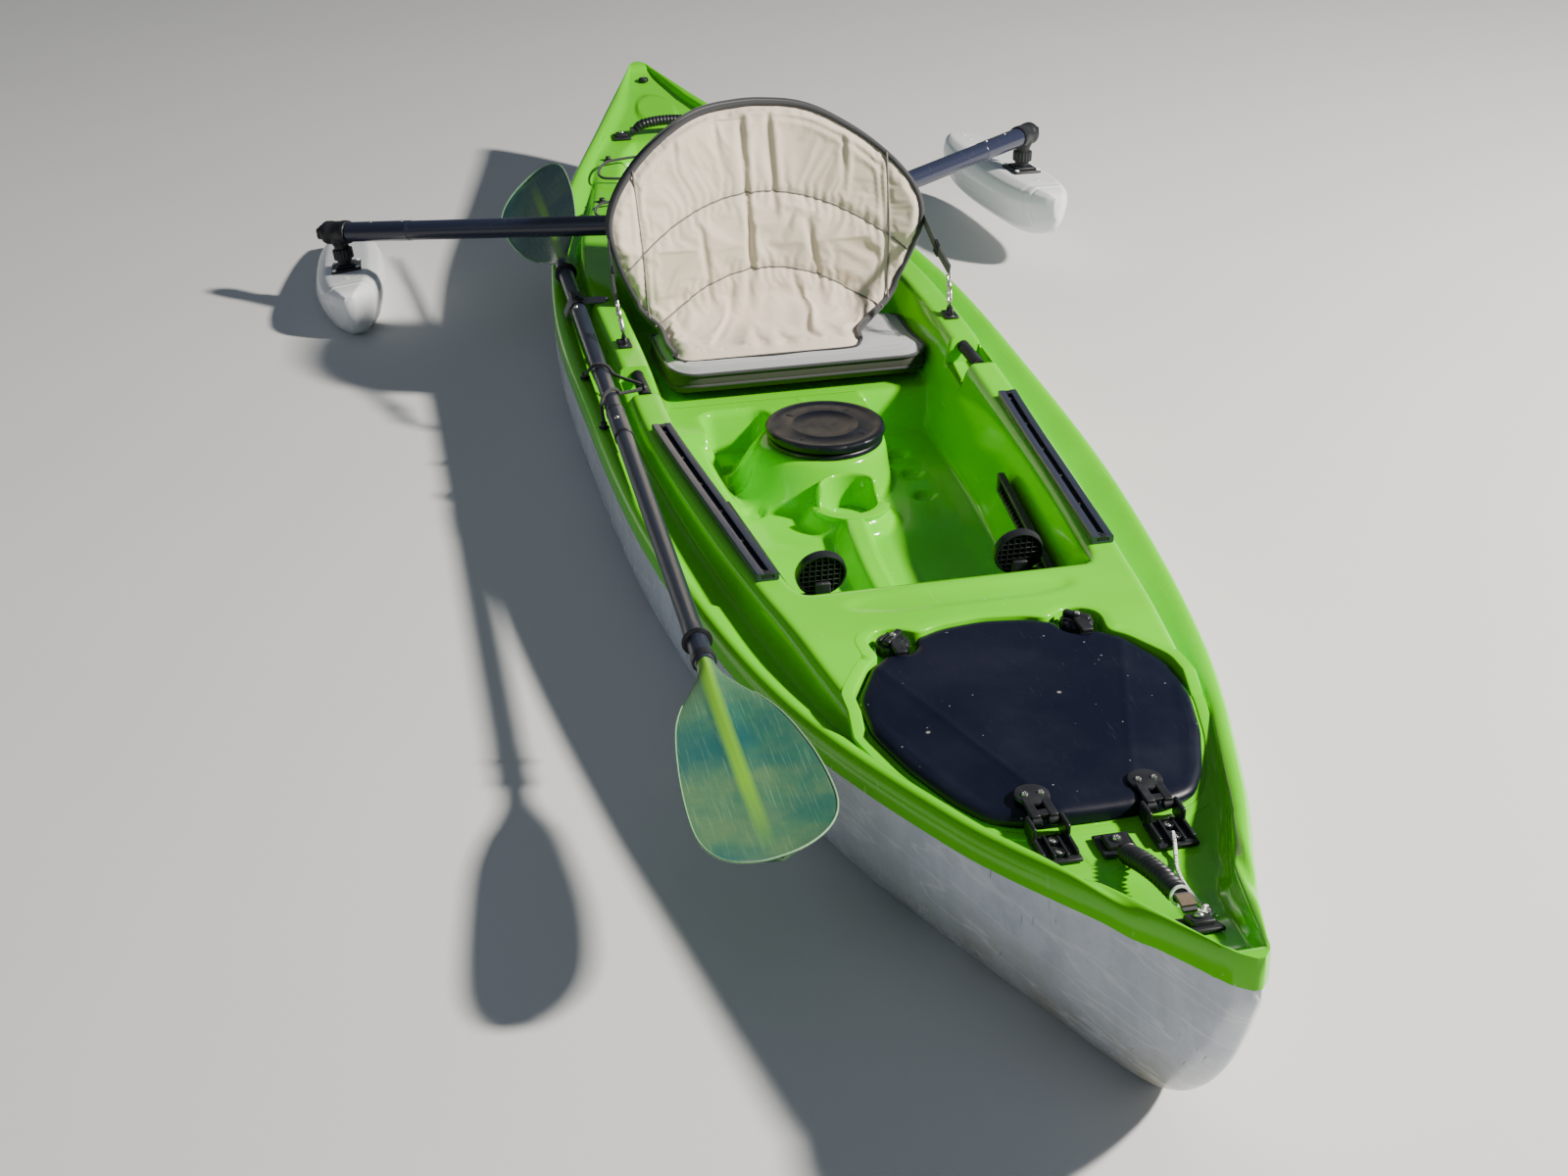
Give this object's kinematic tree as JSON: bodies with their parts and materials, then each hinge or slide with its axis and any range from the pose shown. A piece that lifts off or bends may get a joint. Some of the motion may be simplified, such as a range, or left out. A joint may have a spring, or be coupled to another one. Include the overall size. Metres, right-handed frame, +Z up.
{
  "type": "sit-on-top kayak",
  "caption": "Sit-on-top kayak with deck hatches, folding seat, foot pedals, carry bars, a feathered paddle and outrigger floats on tilting arms.",
  "frame": {"origin": "amidships on the centre line at the waterline of the empty boat", "axes": "+X towards the bow, +Y to port, +Z up"},
  "size_m": [3.66, 1.623, 0.6127],
  "materials": {
    "arm_tube": "satin",
    "black_fitting": "satin",
    "blade_green": "gloss",
    "dark_fabric": "woven",
    "float_white": "satin",
    "grey_fabric": "woven",
    "hatch_navy": "satin",
    "lime_deck": "gloss",
    "rope_white": "woven",
    "shaft_tube": "satin",
    "steel": "brushed",
    "track_metal": "satin",
    "white_hull": "satin"
  },
  "bodies": {
    "kayak": {"bow_handle": "black_fitting", "bow_handle_plate_aft": "black_fitting", "bow_handle_plate_fore": "black_fitting", "bow_rope": "rope_white", "bungee_anchor_aft": "black_fitting", "bungee_anchor_fore": "black_fitting", "carry_bar_port": "black_fitting", "carry_bar_starboard": "black_fitting", "cord_anchor_port_aft": "black_fitting", "cord_anchor_port_fore": "black_fitting", "cord_anchor_starboard_aft": "black_fitting", "cord_anchor_starboard_fore": "black_fitting", "deck": "lime_deck", "drip_ring_aft": "black_fitting", "drip_ring_fore": "black_fitting", "foot_rail_port": "black_fitting", "foot_rail_starboard": "black_fitting", "gear_track_port": "track_metal", "gear_track_starboard": "track_metal", "hinge_plate_port": "black_fitting", "hinge_plate_starboard": "black_fitting", "hull": "white_hull", "outrigger_mount_port": "black_fitting", "outrigger_mount_starboard": "black_fitting", "pad_eye_port": "black_fitting", "pad_eye_starboard": "black_fitting", "paddle_blade_aft": "blade_green", "paddle_blade_fore": "blade_green", "paddle_bungee": "black_fitting", "paddle_shaft": "shaft_tube", "paddle_strap": "dark_fabric", "round_hatch_ring": "black_fitting", "seat_cushion": "grey_fabric", "seat_strap_port": "dark_fabric", "seat_strap_starboard": "dark_fabric", "snap_hook_port": "steel", "snap_hook_starboard": "steel", "stern_fitting": "black_fitting", "stern_handle": "black_fitting", "stern_handle_plate_port": "black_fitting", "stern_handle_plate_starboard": "black_fitting", "tankwell_cord": "black_fitting"},
    "front_hatch": {"front_hatch_lid": "hatch_navy", "hatch_latch_port": "black_fitting", "hatch_latch_starboard": "black_fitting", "hinge_leaf_port": "black_fitting", "hinge_leaf_starboard": "black_fitting"},
    "round_hatch": {"round_hatch_lid": "black_fitting"},
    "backrest": {"seat_backrest": "grey_fabric"},
    "pedal_port": {"foot_pedal_port": "black_fitting"},
    "pedal_starboard": {"foot_pedal_starboard": "black_fitting"},
    "arm_port": {"outrigger_arm_port": "arm_tube", "outrigger_elbow_port": "black_fitting", "outrigger_float_port": "float_white"},
    "arm_starboard": {"outrigger_arm_starboard": "arm_tube", "outrigger_elbow_starboard": "black_fitting", "outrigger_float_starboard": "float_white"}
  },
  "joints": [
    {"name": "front_hatch_hinge", "type": "hinge", "parent": "kayak", "child": "front_hatch", "pos_m": [1.409, 0, 0.2175], "axis": [0, 1, 0], "range_deg": [0, 110]},
    {"name": "round_hatch_lift", "type": "slide", "parent": "kayak", "child": "round_hatch", "axis": [0, 0, 1], "range_m": [0, 0.12]},
    {"name": "backrest_fold", "type": "hinge", "parent": "kayak", "child": "backrest", "pos_m": [-0.36, 0, 0.1649], "axis": [0, 1, 0], "range_deg": [0, 65], "deforming": ["seat_strap_port", "seat_strap_starboard"]},
    {"name": "pedal_slide_port", "type": "slide", "parent": "kayak", "child": "pedal_port", "axis": [0.9959, -0.0901, 0], "range_m": [-0.26, 0.02]},
    {"name": "pedal_slide_starboard", "type": "slide", "parent": "kayak", "child": "pedal_starboard", "axis": [0.9959, 0.0901, 0], "range_m": [-0.26, 0.02]},
    {"name": "arm_tilt_port", "type": "hinge", "parent": "kayak", "child": "arm_port", "pos_m": [-0.585, 0.19, 0.29], "axis": [0.7368, 0.6762, 0], "range_deg": [-7, 70]},
    {"name": "arm_tilt_starboard", "type": "hinge", "parent": "kayak", "child": "arm_starboard", "pos_m": [-0.585, -0.19, 0.29], "axis": [-0.7709, 0.637, 0], "range_deg": [0, 70]}
  ]
}
